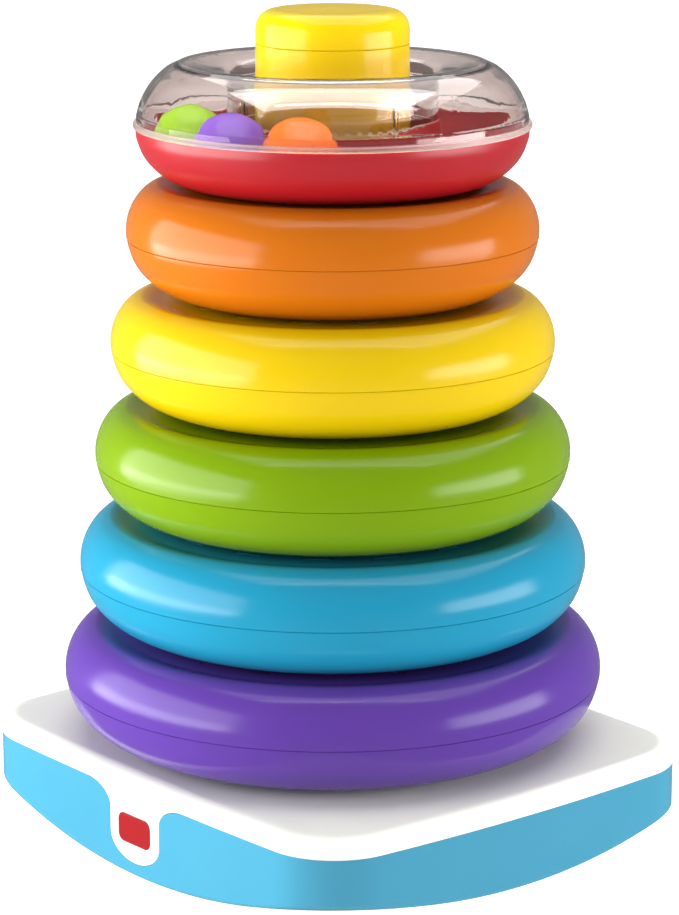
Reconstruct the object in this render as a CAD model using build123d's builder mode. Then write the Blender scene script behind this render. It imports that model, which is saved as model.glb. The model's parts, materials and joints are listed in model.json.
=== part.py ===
from build123d import *
import math
import os

# Stacking ring toy: five hollow rings and a bead ring on a post over a rocking base.
# Millimetres, +Z up, origin on the floor under the middle of the post.
# The front, with the badge, faces -Y.

# ---- Driving dimensions -------------------------------------------------------------

wall = 2.5                      # moulded wall of every shell
part_gap = 0.2                  # seam between two parts moulded to meet
weld_gap = 0.05                 # seam between two shells joined for good

# base
base_width = 242.0              # along X, over the bowed sides
base_depth = 210.0              # along Y
side_bow_x = 5.5                # how far the sides that face X bulge past their corners
side_bow_y = 3.5                # the same for the sides that face Y
base_corner_r = 31.0
underside_r = 340.0             # the underside is part of a large ball
foot_r = 30.0                   # small flat at the middle, which the toy stands on
seam_z = 50.2                   # blue shell meets white deck
deck_z = 57.8                   # top of the deck
deck_round = 6.8                # rounding of the deck's rim
rim_break = 2.0                 # rounding of the blue shell's lower rim

# tongue of the deck that hangs down the front
tongue_half_w = 16.4
tongue_bottom_z = 20.6
tongue_round_h = 10.6           # height of its rounded end
tongue_flare_w = 16.0           # how the tongue spreads into the deck's rim
tongue_flare_h = 9.2
tongue_overlap = (deck_z - seam_z - deck_round) / 2     # how far it runs up into the deck's rim

# badge on the tongue
badge_z = 34.6
badge_half_w = 10.6
badge_half_h = 6.2
badge_corner_r = 3.4
badge_t = 1.0
badge_proud = 0.35
badge_fit = 0.2

# screws
screw_shank_r = 1.5
screw_head_r = 3.4
screw_head_h = 2.4
screw_fit = 0.05                # shank to hole
base_screw_x = 84.0
base_screw_y = 70.0
base_screw_ledge_z = 32.0
base_boss_r = 6.5
base_boss_top = 44.0
base_screw_length = 20.0
post_screw_circle_r = 20.0
post_screw_count = 4
post_screw_ledge_z = 5.0
post_screw_length = 18.0
counterbore_r = 4.4

# post
post_foot_z = 9.0               # underside of the post, inside the base
post_r_low = 34.6               # radius where it leaves the deck
post_r_top = 31.2               # radius under its cap
post_cap_z = 346.6              # seam between post and cap
post_top_z = 361.0
post_foot_t = 4.0
post_boss_r = 4.2
post_boss_h = 16.0
cap_round = 8.6
cap_power = 2.3                 # exponent of the cap's rounding
cap_crown = 0.8
cap_spigot_h = 8.0
cap_break = 0.3
socket_top_z = 40.0

# rings, from the lowest
ring_names = ["purple", "blue", "green", "yellow", "orange"]
ring_r_first = 112.5
ring_r_step = 7.0
ring_pitch = 46.2
ring_gap = 0.1                  # under each ring
ring_bore_r = 36.6
lower_w = 38.0                  # lower outer quarter: width and height of its curve
lower_h = 28.8
lower_power = 2.27
upper_w = 14.5                  # upper outer quarter
upper_h = 18.6
upper_power = 1.85
disc_rise = ring_pitch - ring_gap - lower_h     # flat disc above the widest level
disc_blend = 8.0                # from the crest in to the disc
shell_seam_drop = 3.7           # seam below the widest level
seam_break = 0.5
shell_step = 0.25               # the lower shell stands this far inside the upper
lip_t = 1.3                     # inner lip that lines the two shells up
lip_h = 3.0
pattern_depth = 0.35            # each ring's disc has a pattern sunk into it
pattern_line = 0.9

# bead ring
tray_z = deck_z + ring_gap + len(ring_names) * ring_pitch
tray_lip_z = 312.8
tray_lip_r = 80.0
tray_curve_w = 29.0
tray_power = 2.05
tray_foot_in_r = 46.0
tray_floor_z = 294.0
hub_r = 43.8
hub_top_z = 315.0
tray_bore_r = 36.6
dome_flange_r = 81.1
dome_flange_h = 2.4
dome_r = 79.9
dome_w = 19.6
dome_top_z = 339.2
dome_power = 1.7
dome_t = 1.5
flange_edge_r = 0.9
dish_drop = 1.6                 # how far the dished middle sinks before it turns down
dish_turn = 5.0                 # height of the turn down into the collar
collar_rib_count = 4
collar_rib_turn = -5.0
collar_rib_out = 1.6
collar_rib_t = 1.4
collar_rib_h = 10.0

# balls in the bead ring
ball_r = 14.9
ball_track_r = 60.0
ball_float = 0.3                # kept clear of the tray's floor
ball_angles = {"green": -111.0, "purple": -81.5, "orange": -52.0}

os.makedirs("parts", exist_ok=True)


def finish(part, node):
    part.label = node
    export_step(part, "parts/" + node + ".step")


# ---- Base ---------------------------------------------------------------------------

def bowed_rectangle(inset):
    """Outline of the base, pulled in by inset: four slightly bowed sides."""
    x_mid = base_width / 2 - inset
    y_mid = base_depth / 2 - inset
    x_end = x_mid - side_bow_x
    y_end = y_mid - side_bow_y
    with BuildSketch() as outline:
        with BuildLine():
            ThreePointArc((x_end, -y_end), (x_mid, 0), (x_end, y_end))
            ThreePointArc((x_end, y_end), (0, y_mid), (-x_end, y_end))
            ThreePointArc((-x_end, y_end), (-x_mid, 0), (-x_end, -y_end))
            ThreePointArc((-x_end, -y_end), (0, -y_mid), (x_end, -y_end))
        make_face()
        fillet(outline.vertices(), base_corner_r - inset)
    return outline.sketch


def tongue_outline(grow):
    """Front outline of the tongue, in X and Z, flaring into the seam at its top."""
    half = tongue_half_w + grow
    low = tongue_bottom_z - grow
    round_z = tongue_bottom_z + tongue_round_h
    flare_w = tongue_flare_w - grow
    flare_z = seam_z - tongue_flare_h
    flare_x = half + flare_w
    top = seam_z + tongue_overlap
    with BuildSketch(Plane.XZ) as outline:
        with BuildLine():
            EllipticalCenterArc((0, round_z), half, round_z - low, 180, arc_size=180)
            Line((half, round_z), (half, flare_z))
            EllipticalCenterArc((flare_x, flare_z), flare_w, tongue_flare_h - grow, 90, arc_size=90)
            Polyline((flare_x, seam_z - grow), (flare_x, top), (-flare_x, top), (-flare_x, seam_z - grow))
            EllipticalCenterArc((-flare_x, flare_z), flare_w, tongue_flare_h - grow, 0, arc_size=90)
            Line((-half, flare_z), (-half, round_z))
        make_face()
    return outline.sketch


underside_centre_z = math.sqrt(underside_r**2 - foot_r**2)
base_screw_points = [
    (base_screw_x, base_screw_y),
    (-base_screw_x, base_screw_y),
    (base_screw_x, -base_screw_y),
    (-base_screw_x, -base_screw_y),
]
socket_r = post_r_low + 0.4

# space inside the blue shell, with its screw bosses and the post's socket left standing
with BuildPart() as shell_cavity:
    add(bowed_rectangle(wall))
    extrude(amount=seam_z + 1)
    with Locations((0, 0, underside_centre_z)):
        Sphere(underside_r - wall, mode=Mode.INTERSECT)
    with BuildSketch():
        with Locations(*base_screw_points):
            Circle(base_boss_r)
    extrude(amount=base_boss_top, mode=Mode.SUBTRACT)
    with BuildSketch():
        Circle(socket_r + wall)
    extrude(amount=socket_top_z, mode=Mode.SUBTRACT)

with BuildPart() as tongue_notch:
    extrude(tongue_outline(part_gap), amount=base_depth)

with BuildPart() as base_bottom_shell:
    add(bowed_rectangle(0))
    extrude(amount=seam_z)
    with Locations((0, 0, underside_centre_z)):
        Sphere(underside_r, mode=Mode.INTERSECT)
    rim = base_bottom_shell.edges().filter_by(
        lambda e: e.center().Z < seam_z - 5 and e.bounding_box().max.Z > 12
        and e.bounding_box().min.Z < seam_z - 15 and e.bounding_box().size.Z < 14
    )
    fillet(rim, rim_break)
    add(shell_cavity.part, mode=Mode.SUBTRACT)
    with BuildSketch(Plane.XY.offset(post_foot_z)):
        Circle(socket_r)
    extrude(amount=seam_z, mode=Mode.SUBTRACT)
    with BuildSketch():
        with Locations(*base_screw_points):
            Circle(screw_shank_r + screw_fit)
        with PolarLocations(post_screw_circle_r, post_screw_count, start_angle=45):
            Circle(screw_shank_r + screw_fit)
    extrude(amount=seam_z, mode=Mode.SUBTRACT)
    with BuildSketch():
        with Locations(*base_screw_points):
            Circle(counterbore_r)
    extrude(amount=base_screw_ledge_z, mode=Mode.SUBTRACT)
    with BuildSketch():
        with PolarLocations(post_screw_circle_r, post_screw_count, start_angle=45):
            Circle(counterbore_r)
    extrude(amount=post_screw_ledge_z, mode=Mode.SUBTRACT)
    add(tongue_notch.part, mode=Mode.SUBTRACT)
finish(base_bottom_shell.part, "base_bottom_shell")

with BuildPart() as tongue_block:
    extrude(tongue_outline(0), amount=base_depth)

# the tongue follows the bowed wall of the base
with BuildPart() as tongue:
    add(bowed_rectangle(0))
    extrude(amount=seam_z + tongue_overlap)
    add(bowed_rectangle(wall))
    extrude(amount=seam_z + tongue_overlap, mode=Mode.SUBTRACT)
    add(tongue_block.part, mode=Mode.INTERSECT)

with BuildPart() as badge_pocket:
    with BuildSketch(Plane.XZ.offset(base_depth / 2 - badge_t + badge_proud)):
        with Locations((0, badge_z)):
            RectangleRounded(2 * badge_half_w, 2 * badge_half_h, badge_corner_r)
    extrude(amount=badge_t)

with BuildPart() as base_top_plate:
    with BuildSketch(Plane.XY.offset(seam_z)):
        add(bowed_rectangle(0))
    extrude(amount=deck_z - seam_z)
    fillet(base_top_plate.faces().sort_by(Axis.Z)[-1].edges(), deck_round)
    with BuildSketch(Plane.XY.offset(seam_z)):
        add(bowed_rectangle(wall + deck_round / 2))
    extrude(amount=deck_z - wall - seam_z, mode=Mode.SUBTRACT)
    add(tongue.part)
    with BuildSketch(Plane.XY.offset(base_boss_top)):
        with Locations(*base_screw_points):
            Circle(base_boss_r)
    extrude(amount=deck_z - wall - base_boss_top)
    with BuildSketch(Plane.XY.offset(base_boss_top)):
        with Locations(*base_screw_points):
            Circle(screw_shank_r + screw_fit)
    extrude(amount=deck_z - wall - base_boss_top, mode=Mode.SUBTRACT)
    with BuildSketch(Plane.XY.offset(seam_z)):
        Circle(post_r_low + 0.15)
    extrude(amount=deck_z - seam_z, mode=Mode.SUBTRACT)
    add(badge_pocket.part, mode=Mode.SUBTRACT)
finish(base_top_plate.part, "base_top_plate")

with BuildPart() as badge:
    with BuildSketch(Plane.XZ.offset(base_depth / 2 - badge_t + badge_proud)):
        with Locations((0, badge_z)):
            RectangleRounded(2 * badge_half_w - badge_fit, 2 * badge_half_h - badge_fit, badge_corner_r)
    extrude(amount=badge_t)
    fillet(badge.faces().sort_by(Axis.Y)[0].edges(), badge_proud * 0.8)
finish(badge.part, "badge")


# ---- Screws -------------------------------------------------------------------------

def screw_group(points, ledge_z, length):
    """Pan-head screws pushed up from below, heads against the ledge."""
    head_z = ledge_z - screw_head_h
    with BuildPart() as screws:
        with BuildSketch(Plane.XY.offset(head_z)):
            with Locations(*points):
                Circle(screw_head_r)
        extrude(amount=screw_head_h)
        chamfer(screws.faces().group_by(Axis.Z)[0].edges(), 0.6)
        with BuildSketch(Plane.XY.offset(ledge_z)):
            with Locations(*points):
                Circle(screw_shank_r)
        extrude(amount=length)
        with BuildSketch(Plane.XY.offset(head_z)):
            with Locations(*points):
                Rectangle(3.6, 0.9)
                Rectangle(0.9, 3.6)
        extrude(amount=1.3, mode=Mode.SUBTRACT)
    return screws.part


finish(screw_group(base_screw_points, base_screw_ledge_z, base_screw_length), "base_screws")

post_screw_points = []
for index in range(post_screw_count):
    turn = math.radians(45 + 360 * index / post_screw_count)
    post_screw_points.append((post_screw_circle_r * math.cos(turn), post_screw_circle_r * math.sin(turn)))
finish(screw_group(post_screw_points, post_screw_ledge_z, post_screw_length), "post_screws")


# ---- Post ---------------------------------------------------------------------------

with BuildPart() as post:
    with BuildSketch(Plane.XZ):
        with BuildLine():
            Polyline(
                (0, post_foot_z),
                (post_r_low, post_foot_z),
                (post_r_low, deck_z),
                (post_r_top, post_cap_z),
                (post_r_top - wall, post_cap_z),
                (post_r_low - wall, deck_z),
                (post_r_low - wall, post_foot_z + post_foot_t),
                (0, post_foot_z + post_foot_t),
                close=True,
            )
        make_face()
    revolve(axis=Axis.Z)
    with BuildSketch(Plane.XY.offset(post_foot_z)):
        with Locations(*post_screw_points):
            Circle(post_boss_r)
    extrude(amount=post_boss_h)
    with BuildSketch(Plane.XY.offset(post_foot_z)):
        with Locations(*post_screw_points):
            Circle(screw_shank_r + screw_fit)
    extrude(amount=post_boss_h, mode=Mode.SUBTRACT)
    fillet(post.edges().group_by(Axis.Z)[-1].sort_by(SortBy.RADIUS)[-1], 0.4)
finish(post.part, "post")


def power_curve(centre_r, centre_z, width, height, power, start, stop, steps=9):
    """Points on a quarter of a superellipse, from angle start to stop in degrees."""
    points = []
    for step in range(steps):
        angle = math.radians(start + (stop - start) * step / (steps - 1))
        across = abs(math.cos(angle)) ** (2 / power)
        along = math.copysign(abs(math.sin(angle)) ** (2 / power), math.sin(angle))
        points.append((centre_r + width * across, centre_z + height * along))
    return points


with BuildPart() as post_cap:
    cap_low = post_cap_z + weld_gap
    spigot_r = post_r_top - wall - 0.1
    with BuildSketch(Plane.XZ):
        with BuildLine():
            shoulder = power_curve(
                post_r_top - cap_round, post_top_z - cap_crown - cap_round,
                cap_round, cap_round, cap_power, 0, 90,
            )
            Polyline(
                (0, cap_low), (spigot_r - 2, cap_low), (spigot_r - 2, post_cap_z - cap_spigot_h),
                (spigot_r, post_cap_z - cap_spigot_h), (spigot_r, cap_low),
                (post_r_top - cap_break, cap_low), (post_r_top, cap_low + cap_break),
                shoulder[0],
            )
            Spline(*shoulder, tangents=[(0, 1), (-1, 0)])
            Spline(shoulder[-1], (0, post_top_z), tangents=[(-1, 0), (-1, 0)])
            Line((0, post_top_z), (0, cap_low))
        make_face()
    revolve(axis=Axis.Z)
finish(post_cap.part, "post_cap")


# ---- Rings --------------------------------------------------------------------------

def ring_section(radius, level, inset):
    """Filled half section of a ring, its surface pulled in by inset all round."""
    floor = level - lower_h + inset
    disc = level + disc_rise - inset
    bore = ring_bore_r + inset
    lower = power_curve(
        radius - lower_w, level, lower_w - inset, lower_h - inset, lower_power, -90, 0,
    )
    upper = power_curve(
        radius - upper_w, level, upper_w - inset, upper_h - inset, upper_power, 0, 90,
    )
    disc_edge = (radius - upper_w - disc_blend, disc)
    with BuildSketch(Plane.XZ) as section:
        with BuildLine():
            Polyline(disc_edge, (bore, disc), (bore, floor), lower[0])
            Spline(*lower, tangents=[(1, 0), (0, 1)])
            Spline(*upper, tangents=[(0, 1), (-1, 0)])
            Spline(upper[-1], disc_edge, tangents=[(-1, 0), (-1, 0)])
        make_face()
    return section.sketch


def seam_band(radius, low, high):
    """Tall rectangle of the half section, used to keep what lies above or below a seam."""
    with BuildSketch(Plane.XZ) as band:
        with Locations((radius / 2, (low + high) / 2)):
            Rectangle(radius + 10, high - low)
    return band.sketch


def zigzag(inner, outer, teeth):
    """One zigzag line right round the disc."""
    points = []
    for index in range(2 * teeth):
        turn = math.pi * index / teeth
        reach = outer if index % 2 else inner
        points.append((reach * math.cos(turn), reach * math.sin(turn)))
    with BuildSketch() as pattern:
        with BuildLine():
            Polyline(*points, close=True)
        make_face()
        offset(amount=-pattern_line, kind=Kind.INTERSECTION, mode=Mode.SUBTRACT)
    return pattern.sketch


def outline_row(radius, sides, count, size, spin):
    """A row of outlines, such as squares or triangles, round the disc."""
    hollow = size - pattern_line / math.cos(math.pi / sides)
    with BuildSketch() as pattern:
        with PolarLocations(radius, count):
            RegularPolygon(size, sides, rotation=spin)
        with PolarLocations(radius, count):
            RegularPolygon(hollow, sides, rotation=spin, mode=Mode.SUBTRACT)
    return pattern.sketch


def circle_row(radius, count, size, hollow):
    """A row of small discs, or of hollow circles, round the disc."""
    with BuildSketch() as pattern:
        with PolarLocations(radius, count):
            Circle(size)
        if hollow:
            with PolarLocations(radius, count):
                Circle(size - pattern_line, mode=Mode.SUBTRACT)
    return pattern.sketch


def disc_pattern(name, radius):
    """The pattern that is each ring's own."""
    if name == "purple":
        return outline_row(radius - 37.0, 3, 18, 7.5, 0)
    if name == "blue":
        return outline_row(radius - 37.9, 4, 16, 8.9, 45)
    if name == "green":
        return zigzag(radius - 41.0, radius - 33.0, 24)
    if name == "yellow":
        return circle_row(radius - 37.0, 14, 6.0, True)
    return circle_row(radius - 31.0, 18, 2.2, False)


def make_ring(name, radius, level):
    """Upper and lower shell of one hollow ring, whose widest level is at height level."""
    seam = level - shell_seam_drop
    top = level + ring_pitch
    bottom = level - ring_pitch
    disc = level + disc_rise

    with BuildPart() as upper_shell:
        with BuildSketch(Plane.XZ):
            add(ring_section(radius, level, 0))
            add(ring_section(radius, level, wall), mode=Mode.SUBTRACT)
            add(seam_band(radius, seam, top), mode=Mode.INTERSECT)
        revolve(axis=Axis.Z)
        seam_edges = upper_shell.edges().filter_by(GeomType.CIRCLE).group_by(Axis.Z)[0]
        chamfer(seam_edges.sort_by(SortBy.RADIUS)[-1], seam_break)
        with BuildSketch(Plane.XY.offset(disc - pattern_depth)):
            add(disc_pattern(name, radius))
        extrude(amount=wall, mode=Mode.SUBTRACT)
    finish(upper_shell.part, name + "_ring_upper")

    with BuildPart() as lower_shell:
        with BuildSketch(Plane.XZ):
            add(ring_section(radius - shell_step, level, 0))
            add(ring_section(radius - shell_step, level, wall), mode=Mode.SUBTRACT)
            add(seam_band(radius, bottom, seam - weld_gap), mode=Mode.INTERSECT)
            with Locations((radius - wall - shell_step - lip_t / 2 - 0.6, seam)):
                Rectangle(lip_t + 0.6, 2 * lip_h)
        revolve(axis=Axis.Z)
    finish(lower_shell.part, name + "_ring_lower")


for index, name in enumerate(ring_names):
    widest = deck_z + ring_gap + lower_h + index * ring_pitch
    make_ring(name, ring_r_first - index * ring_r_step, widest)


# ---- Bead ring ----------------------------------------------------------------------

tray_rise = tray_lip_z - tray_z
# where the inner curve of the tray's wall meets its floor
floor_angle = math.degrees(math.asin(
    ((tray_lip_z - tray_floor_z) / (tray_rise - wall)) ** (tray_power / 2)
))

with BuildPart() as red_tray:
    curve_r = tray_lip_r - tray_curve_w
    outer = power_curve(curve_r, tray_lip_z, tray_curve_w, tray_rise, tray_power, -90, 0)
    inner = power_curve(
        curve_r, tray_lip_z, tray_curve_w - wall, tray_rise - wall, tray_power, 0, -floor_angle,
    )
    foot_ledge_z = tray_floor_z - wall
    with BuildSketch(Plane.XZ):
        with BuildLine():
            Polyline(
                inner[-1],
                (hub_r, tray_floor_z),
                (hub_r, hub_top_z),
                (hub_r - wall, hub_top_z),
                (hub_r - wall, tray_floor_z),
                (tray_bore_r, tray_floor_z),
                (tray_bore_r, tray_z),
                (tray_bore_r + wall, tray_z),
                (tray_bore_r + wall, foot_ledge_z),
                (tray_foot_in_r, foot_ledge_z),
                (tray_foot_in_r, tray_z),
                outer[0],
            )
            Spline(*outer, tangents=[(1, 0), (0, 1)])
            Line(outer[-1], inner[0])
            Spline(*inner)
        make_face()
    revolve(axis=Axis.Z)
finish(red_tray.part, "red_tray")


def dome_points(inset):
    """Points of the clear dome's shoulder and of its dished middle, pulled in by inset."""
    crest_r = dome_r - dome_w
    foot = tray_lip_z + dome_flange_h
    collar_r = hub_r - wall + inset
    shoulder = power_curve(
        crest_r, foot, dome_w - inset, dome_top_z - foot - inset, dome_power, 0, 90,
    )
    dish = [
        shoulder[-1],
        ((crest_r + collar_r) / 2, dome_top_z - dish_drop - inset),
        (collar_r, dome_top_z - 2 * dish_drop - dish_turn - inset),
    ]
    return shoulder, dish


with BuildPart() as clear_dome:
    flange_low = tray_lip_z + 0.1
    flange_top = tray_lip_z + dome_flange_h
    hub_seat = hub_top_z + 0.1
    out_shoulder, out_dish = dome_points(0)
    in_shoulder, in_dish = dome_points(dome_t)
    with BuildSketch(Plane.XZ):
        with BuildLine():
            Spline(*out_shoulder, tangents=[(0, 1), (-1, 0)])
            Spline(*out_dish, tangents=[(-1, 0), (0, -1)])
            Polyline(out_dish[-1], (out_dish[-1][0], hub_seat), (in_dish[-1][0], hub_seat), in_dish[-1])
            Spline(*reversed(in_dish), tangents=[(0, 1), (1, 0)])
            Spline(*reversed(in_shoulder), tangents=[(1, 0), (0, -1)])
            Polyline(
                in_shoulder[0],
                (in_shoulder[0][0], flange_low),
                (dome_flange_r, flange_low),
                (dome_flange_r, flange_top),
                out_shoulder[0],
            )
        make_face()
    revolve(axis=Axis.Z)
    rim = clear_dome.edges().filter_by(GeomType.CIRCLE).sort_by(SortBy.RADIUS)[-2:]
    fillet(rim, flange_edge_r)
    # ribs that stiffen the collar and line it up with the hub
    with BuildSketch(Plane.XY.offset(hub_seat)):
        with PolarLocations(
            hub_r - wall + dome_t, collar_rib_count, start_angle=collar_rib_turn,
        ):
            Rectangle(2 * collar_rib_out, collar_rib_t)
        Circle(hub_r - wall + dome_t / 2, mode=Mode.SUBTRACT)
    extrude(amount=collar_rib_h)
finish(clear_dome.part, "clear_dome")


# ---- Balls --------------------------------------------------------------------------

for colour, angle in ball_angles.items():
    turn = math.radians(angle)
    with BuildPart() as ball:
        with Locations((
            ball_track_r * math.cos(turn),
            ball_track_r * math.sin(turn),
            tray_floor_z + ball_float + ball_r,
        )):
            Sphere(ball_r)
            Sphere(ball_r - 1.5, mode=Mode.SUBTRACT)
    finish(ball.part, colour + "_ball")
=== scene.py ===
import json
import math

import bpy
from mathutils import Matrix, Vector


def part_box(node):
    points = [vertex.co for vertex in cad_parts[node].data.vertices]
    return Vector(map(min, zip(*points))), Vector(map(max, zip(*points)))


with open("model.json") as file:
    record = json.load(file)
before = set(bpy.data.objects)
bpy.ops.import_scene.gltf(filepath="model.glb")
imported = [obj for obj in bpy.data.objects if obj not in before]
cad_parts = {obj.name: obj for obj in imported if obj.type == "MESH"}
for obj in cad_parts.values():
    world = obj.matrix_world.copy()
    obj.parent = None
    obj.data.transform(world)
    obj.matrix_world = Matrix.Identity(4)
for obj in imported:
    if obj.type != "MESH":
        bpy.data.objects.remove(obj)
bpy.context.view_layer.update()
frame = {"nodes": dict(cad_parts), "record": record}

# ---- Stage sizes, in metres ---------------------------------------------------------

view_turn = math.radians(50.2)      # the camera stands this far round from the front
view_tilt = math.radians(13.451)    # and looks down by this much
view_yaw = math.radians(-0.141)
camera_distance = 1.3395
camera_offset = -0.0005
camera_height = 0.4947
lens_mm = 175.58
sensor_mm = 36.0
floor_half = 7.0
flange_height = 0.0023              # of the clear cover, from its lowest edge


def from_camera(side, near, height):
    """A place given by how far it is to the camera's right, towards the camera, and up."""
    return Vector((
        side * math.cos(view_turn) + near * math.sin(view_turn),
        side * math.sin(view_turn) - near * math.cos(view_turn),
        height,
    ))


# ---- Materials ----------------------------------------------------------------------

def linear(red, green, blue):
    """An sRGB colour, 0 to 255, as the linear colour that shaders take."""
    return tuple(
        c / 12.92 if c <= 0.04045 else ((c + 0.055) / 1.055) ** 2.4
        for c in (red / 255, green / 255, blue / 255)
    ) + (1.0,)


def new_material(name):
    material = bpy.data.materials.new(name)
    material.use_nodes = True
    tree = material.node_tree
    return material, tree, tree.nodes["Principled BSDF"]


def noise(tree, scale, detail=3.0):
    """A noise texture over the piece's own coordinates."""
    place = tree.nodes.new("ShaderNodeTexCoord")
    texture = tree.nodes.new("ShaderNodeTexNoise")
    texture.inputs["Scale"].default_value = scale
    texture.inputs["Detail"].default_value = detail
    tree.links.new(place.outputs["Object"], texture.inputs["Vector"])
    return texture.outputs["Fac"]


def spread(tree, source, low, high):
    """Source, from 0.3 to 0.7, mapped from low to high."""
    mapped = tree.nodes.new("ShaderNodeMapRange")
    mapped.inputs["From Min"].default_value = 0.3
    mapped.inputs["From Max"].default_value = 0.7
    mapped.inputs["To Min"].default_value = low
    mapped.inputs["To Max"].default_value = high
    tree.links.new(source, mapped.inputs["Value"])
    return mapped.outputs["Result"]


def plastic(name, colour, roughness=0.2, grain=0.1, specular=0.3):
    """Moulded plastic: faint cloudiness, a fine tool texture, and handling marks in its gloss."""
    material, tree, shader = new_material(name)
    tone = tree.nodes.new("ShaderNodeHueSaturation")
    tone.inputs["Color"].default_value = linear(*colour)
    tree.links.new(spread(tree, noise(tree, 9.0), 0.975, 1.02), tone.inputs["Value"])
    tree.links.new(tone.outputs["Color"], shader.inputs["Base Color"])
    tree.links.new(
        spread(tree, noise(tree, 38.0, 6.0), roughness - 0.035, roughness + 0.035),
        shader.inputs["Roughness"],
    )
    bump = tree.nodes.new("ShaderNodeBump")
    bump.inputs["Strength"].default_value = grain
    bump.inputs["Distance"].default_value = 0.0001
    tree.links.new(noise(tree, 1400.0, 2.0), bump.inputs["Height"])
    tree.links.new(bump.outputs["Normal"], shader.inputs["Normal"])
    shader.inputs["Specular IOR Level"].default_value = specular
    shader.inputs["Subsurface Weight"].default_value = 0.25
    shader.inputs["Subsurface Radius"].default_value = (1.0, 0.8, 0.6)
    shader.inputs["Subsurface Scale"].default_value = 0.005
    return material


def clear(name, weld_top):
    """Clear moulded plastic with faint flow lines, clouded by its weld up to the height weld_top."""
    material, tree, shader = new_material(name)
    tint = tree.nodes.new("ShaderNodeVolumeAbsorption")
    tint.inputs["Color"].default_value = (0.42, 0.14, 0.0, 1.0)
    tint.inputs["Density"].default_value = 40.0
    tree.links.new(tint.outputs["Volume"], tree.nodes["Material Output"].inputs["Volume"])
    shader.inputs["Base Color"].default_value = (0.84, 0.79, 0.77, 1.0)
    shader.inputs["Transmission Weight"].default_value = 1.0
    shader.inputs["IOR"].default_value = 1.49
    shader.inputs["Specular IOR Level"].default_value = 0.4
    place = tree.nodes.new("ShaderNodeTexCoord")
    parts = tree.nodes.new("ShaderNodeSeparateXYZ")
    tree.links.new(place.outputs["Object"], parts.inputs["Vector"])
    welded = tree.nodes.new("ShaderNodeMapRange")
    welded.inputs["From Min"].default_value = weld_top + 0.0004
    welded.inputs["From Max"].default_value = weld_top
    welded.inputs["To Max"].default_value = 0.5
    tree.links.new(parts.outputs["Z"], welded.inputs["Value"])
    gloss = tree.nodes.new("ShaderNodeMath")
    gloss.operation = "MAXIMUM"
    tree.links.new(spread(tree, noise(tree, 30.0), 0.0, 0.05), gloss.inputs[0])
    tree.links.new(welded.outputs["Result"], gloss.inputs[1])
    tree.links.new(gloss.outputs["Value"], shader.inputs["Roughness"])
    bump = tree.nodes.new("ShaderNodeBump")
    bump.inputs["Strength"].default_value = 0.02
    bump.inputs["Distance"].default_value = 0.0005
    tree.links.new(noise(tree, 60.0, 2.0), bump.inputs["Height"])
    tree.links.new(bump.outputs["Normal"], shader.inputs["Normal"])
    # Glass stops the light of lamps, so shadow rays pass through this tint instead.
    see_through = tree.nodes.new("ShaderNodeBsdfTransparent")
    see_through.inputs["Color"].default_value = (0.86, 0.84, 0.83, 1.0)
    path = tree.nodes.new("ShaderNodeLightPath")
    for_lamps = tree.nodes.new("ShaderNodeMixShader")
    tree.links.new(path.outputs["Is Shadow Ray"], for_lamps.inputs[0])
    tree.links.new(shader.outputs["BSDF"], for_lamps.inputs[1])
    tree.links.new(see_through.outputs["BSDF"], for_lamps.inputs[2])
    tree.links.new(for_lamps.outputs["Shader"], tree.nodes["Material Output"].inputs["Surface"])
    return material


def steel(name):
    """Zinc-plated steel, slightly cloudy."""
    material, tree, shader = new_material(name)
    shader.inputs["Base Color"].default_value = linear(190, 192, 196)
    shader.inputs["Metallic"].default_value = 1.0
    tree.links.new(spread(tree, noise(tree, 400.0), 0.24, 0.42), shader.inputs["Roughness"])
    return material


finishes = {
    "base_blue": plastic("base_blue", (62, 134, 160)),
    "deck_white": plastic("deck_white", (219, 219, 210), roughness=0.34),
    "badge_red": plastic("badge_red", (136, 22, 25), roughness=0.22, grain=0.03),
    "post_yellow": plastic("post_yellow", (226, 192, 2)),
    "ring_purple": plastic("ring_purple", (82, 51, 137)),
    "ring_blue": plastic("ring_blue", (26, 129, 160)),
    "ring_green": plastic("ring_green", (106, 138, 2)),
    "ring_yellow": plastic("ring_yellow", (198, 167, 6)),
    "ring_orange": plastic("ring_orange", (177, 94, 10)),
    "tray_red": plastic("tray_red", (152, 15, 25), roughness=0.32, specular=0.5),
    "clear_plastic": clear("clear_plastic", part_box("clear_dome")[0][2] + flange_height),
    "ball_green": plastic("ball_green", (150, 205, 40), grain=0.04),
    "ball_purple": plastic("ball_purple", (128, 92, 205), grain=0.04),
    "ball_orange": plastic("ball_orange", (238, 120, 40), grain=0.04),
    "screw_steel": steel("screw_steel"),
}

for part in frame["record"]["subparts"]:
    mesh = frame["nodes"][part["node"]].data
    mesh.materials.clear()
    mesh.materials.append(finishes[part["material_slot"]])


# ---- Floor, light and camera --------------------------------------------------------

floor_mesh = bpy.data.meshes.new("floor")
floor_mesh.from_pydata(
    [(x, y, 0.0) for x, y in (
        (-floor_half, -floor_half), (floor_half, -floor_half),
        (floor_half, floor_half), (-floor_half, floor_half),
    )],
    [],
    [(0, 1, 2, 3)],
)
floor = bpy.data.objects.new("floor", floor_mesh)
bpy.context.scene.collection.objects.link(floor)
paper, paper_tree, paper_shader = new_material("floor_paper")
paper_shader.inputs["Base Color"].default_value = (0.3, 0.3, 0.3, 1.0)
paper_shader.inputs["Roughness"].default_value = 0.9
paper_shader.inputs["Specular IOR Level"].default_value = 0.0
paper_shader.inputs["Emission Color"].default_value = (1.0, 1.0, 1.0, 1.0)
paper_shader.inputs["Emission Strength"].default_value = 1.12
floor_mesh.materials.append(paper)
floor.visible_glossy = False


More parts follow.
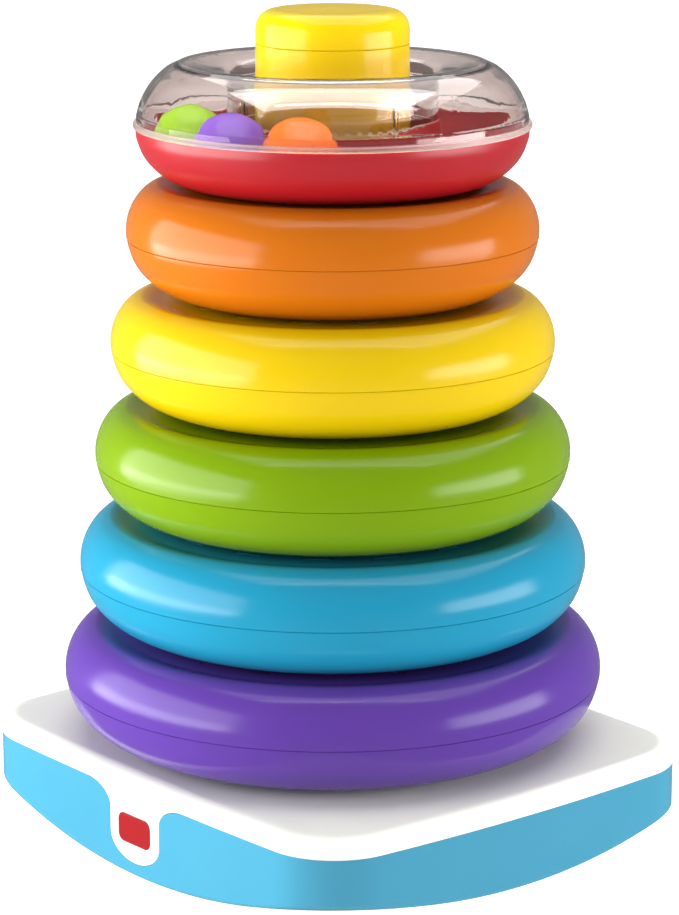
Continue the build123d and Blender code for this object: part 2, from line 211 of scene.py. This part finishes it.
def softbox(name, place, aim, width, height, brightness, turn=0.0):
    """A rectangular soft light at place that faces aim, with its brightness given as radiance."""
    light = bpy.data.lights.new(name, "AREA")
    light.shape = "RECTANGLE"
    light.size = width
    light.size_y = height
    light.energy = brightness * math.pi * width * height
    lamp = bpy.data.objects.new(name, light)
    lamp.location = place
    lamp.rotation_euler = (aim - place).to_track_quat("-Z", "Y").to_euler()
    lamp.rotation_euler.rotate_axis("Z", turn)
    lamp.visible_camera = False
    bpy.context.scene.collection.objects.link(lamp)
    return lamp


left_softbox = softbox(
    "left_softbox", from_camera(-1.18, 0.25, 0.46), from_camera(0.0, 0.0, 0.46),
    width=1.9, height=0.9, brightness=4.3,
)
left_low_softbox = softbox(
    "left_low_softbox", from_camera(-0.75, 0.16, 0.09), from_camera(0.0, 0.0, 0.25),
    width=1.1, height=0.2, brightness=5.0,
)
softbox(
    "right_softbox", from_camera(1.24, 0.40, 0.24), from_camera(0.0, 0.0, 0.24),
    width=1.15, height=0.46, brightness=6.0,
)
softbox(
    "top_softbox", from_camera(0.30, -0.80, 1.75), from_camera(0.30, -0.80, 0.0),
    width=2.3, height=2.3, brightness=2.2, turn=view_turn,
)
softbox(
    "front_strip", from_camera(0.25, 0.52, 1.74), from_camera(0.25, 0.52, 0.0),
    width=1.9, height=0.14, brightness=7.0, turn=view_turn,
)

# Three fills that only soften the shaded sides, so nothing glossy shows them.
left_fill = softbox(
    "left_fill", from_camera(-1.0, 0.1, 0.12), from_camera(0.0, 0.0, 0.2),
    width=0.9, height=0.5, brightness=7.0,
)
right_fill = softbox(
    "right_fill", from_camera(1.0, 0.2, 0.1), from_camera(0.0, 0.0, 0.15),
    width=0.7, height=0.4, brightness=7.0,
)
front_fill = softbox(
    "front_fill", from_camera(0.0, 1.0, 0.95), from_camera(0.0, 0.0, 0.2),
    width=0.9, height=0.4, brightness=1.2,
)
for fill in (left_fill, right_fill, front_fill):
    fill.visible_glossy = False

# An overhead panel that only the clear cover catches, for the bright crest of its rim.
crest_panel = softbox(
    "crest_panel", from_camera(0.0, 0.17, 1.6), from_camera(0.0, 0.17, 0.0),
    width=1.8, height=1.0, brightness=6.5, turn=view_turn,
)
crest_group = bpy.data.collections.new("crest_group")
crest_group.objects.link(frame["nodes"]["clear_dome"])
crest_panel.light_linking.receiver_collection = crest_group

# The left lights would whiten the cover in front of the balls, and the left fill would
# burn out the deck's rim, so each is kept off that node.
for lamp, node in (
    (left_softbox, "clear_dome"),
    (left_low_softbox, "clear_dome"),
    (left_fill, "base_top_plate"),
):
    group = bpy.data.collections.new(lamp.name + "_group")
    group.objects.link(frame["nodes"][node])
    group.collection_objects[0].light_linking.link_state = "EXCLUDE"
    lamp.light_linking.receiver_collection = group

world = bpy.data.worlds.new("studio")
world.use_nodes = True
world.node_tree.nodes["Background"].inputs["Color"].default_value = (1.0, 1.0, 1.0, 1.0)
world.node_tree.nodes["Background"].inputs["Strength"].default_value = 0.25
bpy.context.scene.world = world
bpy.context.scene.view_settings.view_transform = "Standard"

camera_data = bpy.data.cameras.new("camera")
camera_data.sensor_fit = "HORIZONTAL"
camera_data.sensor_width = sensor_mm
camera_data.lens = lens_mm
camera_data.clip_end = 50.0
camera = bpy.data.objects.new("camera", camera_data)
camera.location = from_camera(camera_offset, camera_distance, camera_height)
camera.rotation_euler = (math.pi / 2 - view_tilt, 0.0, view_turn + view_yaw)
bpy.context.scene.collection.objects.link(camera)
bpy.context.scene.camera = camera
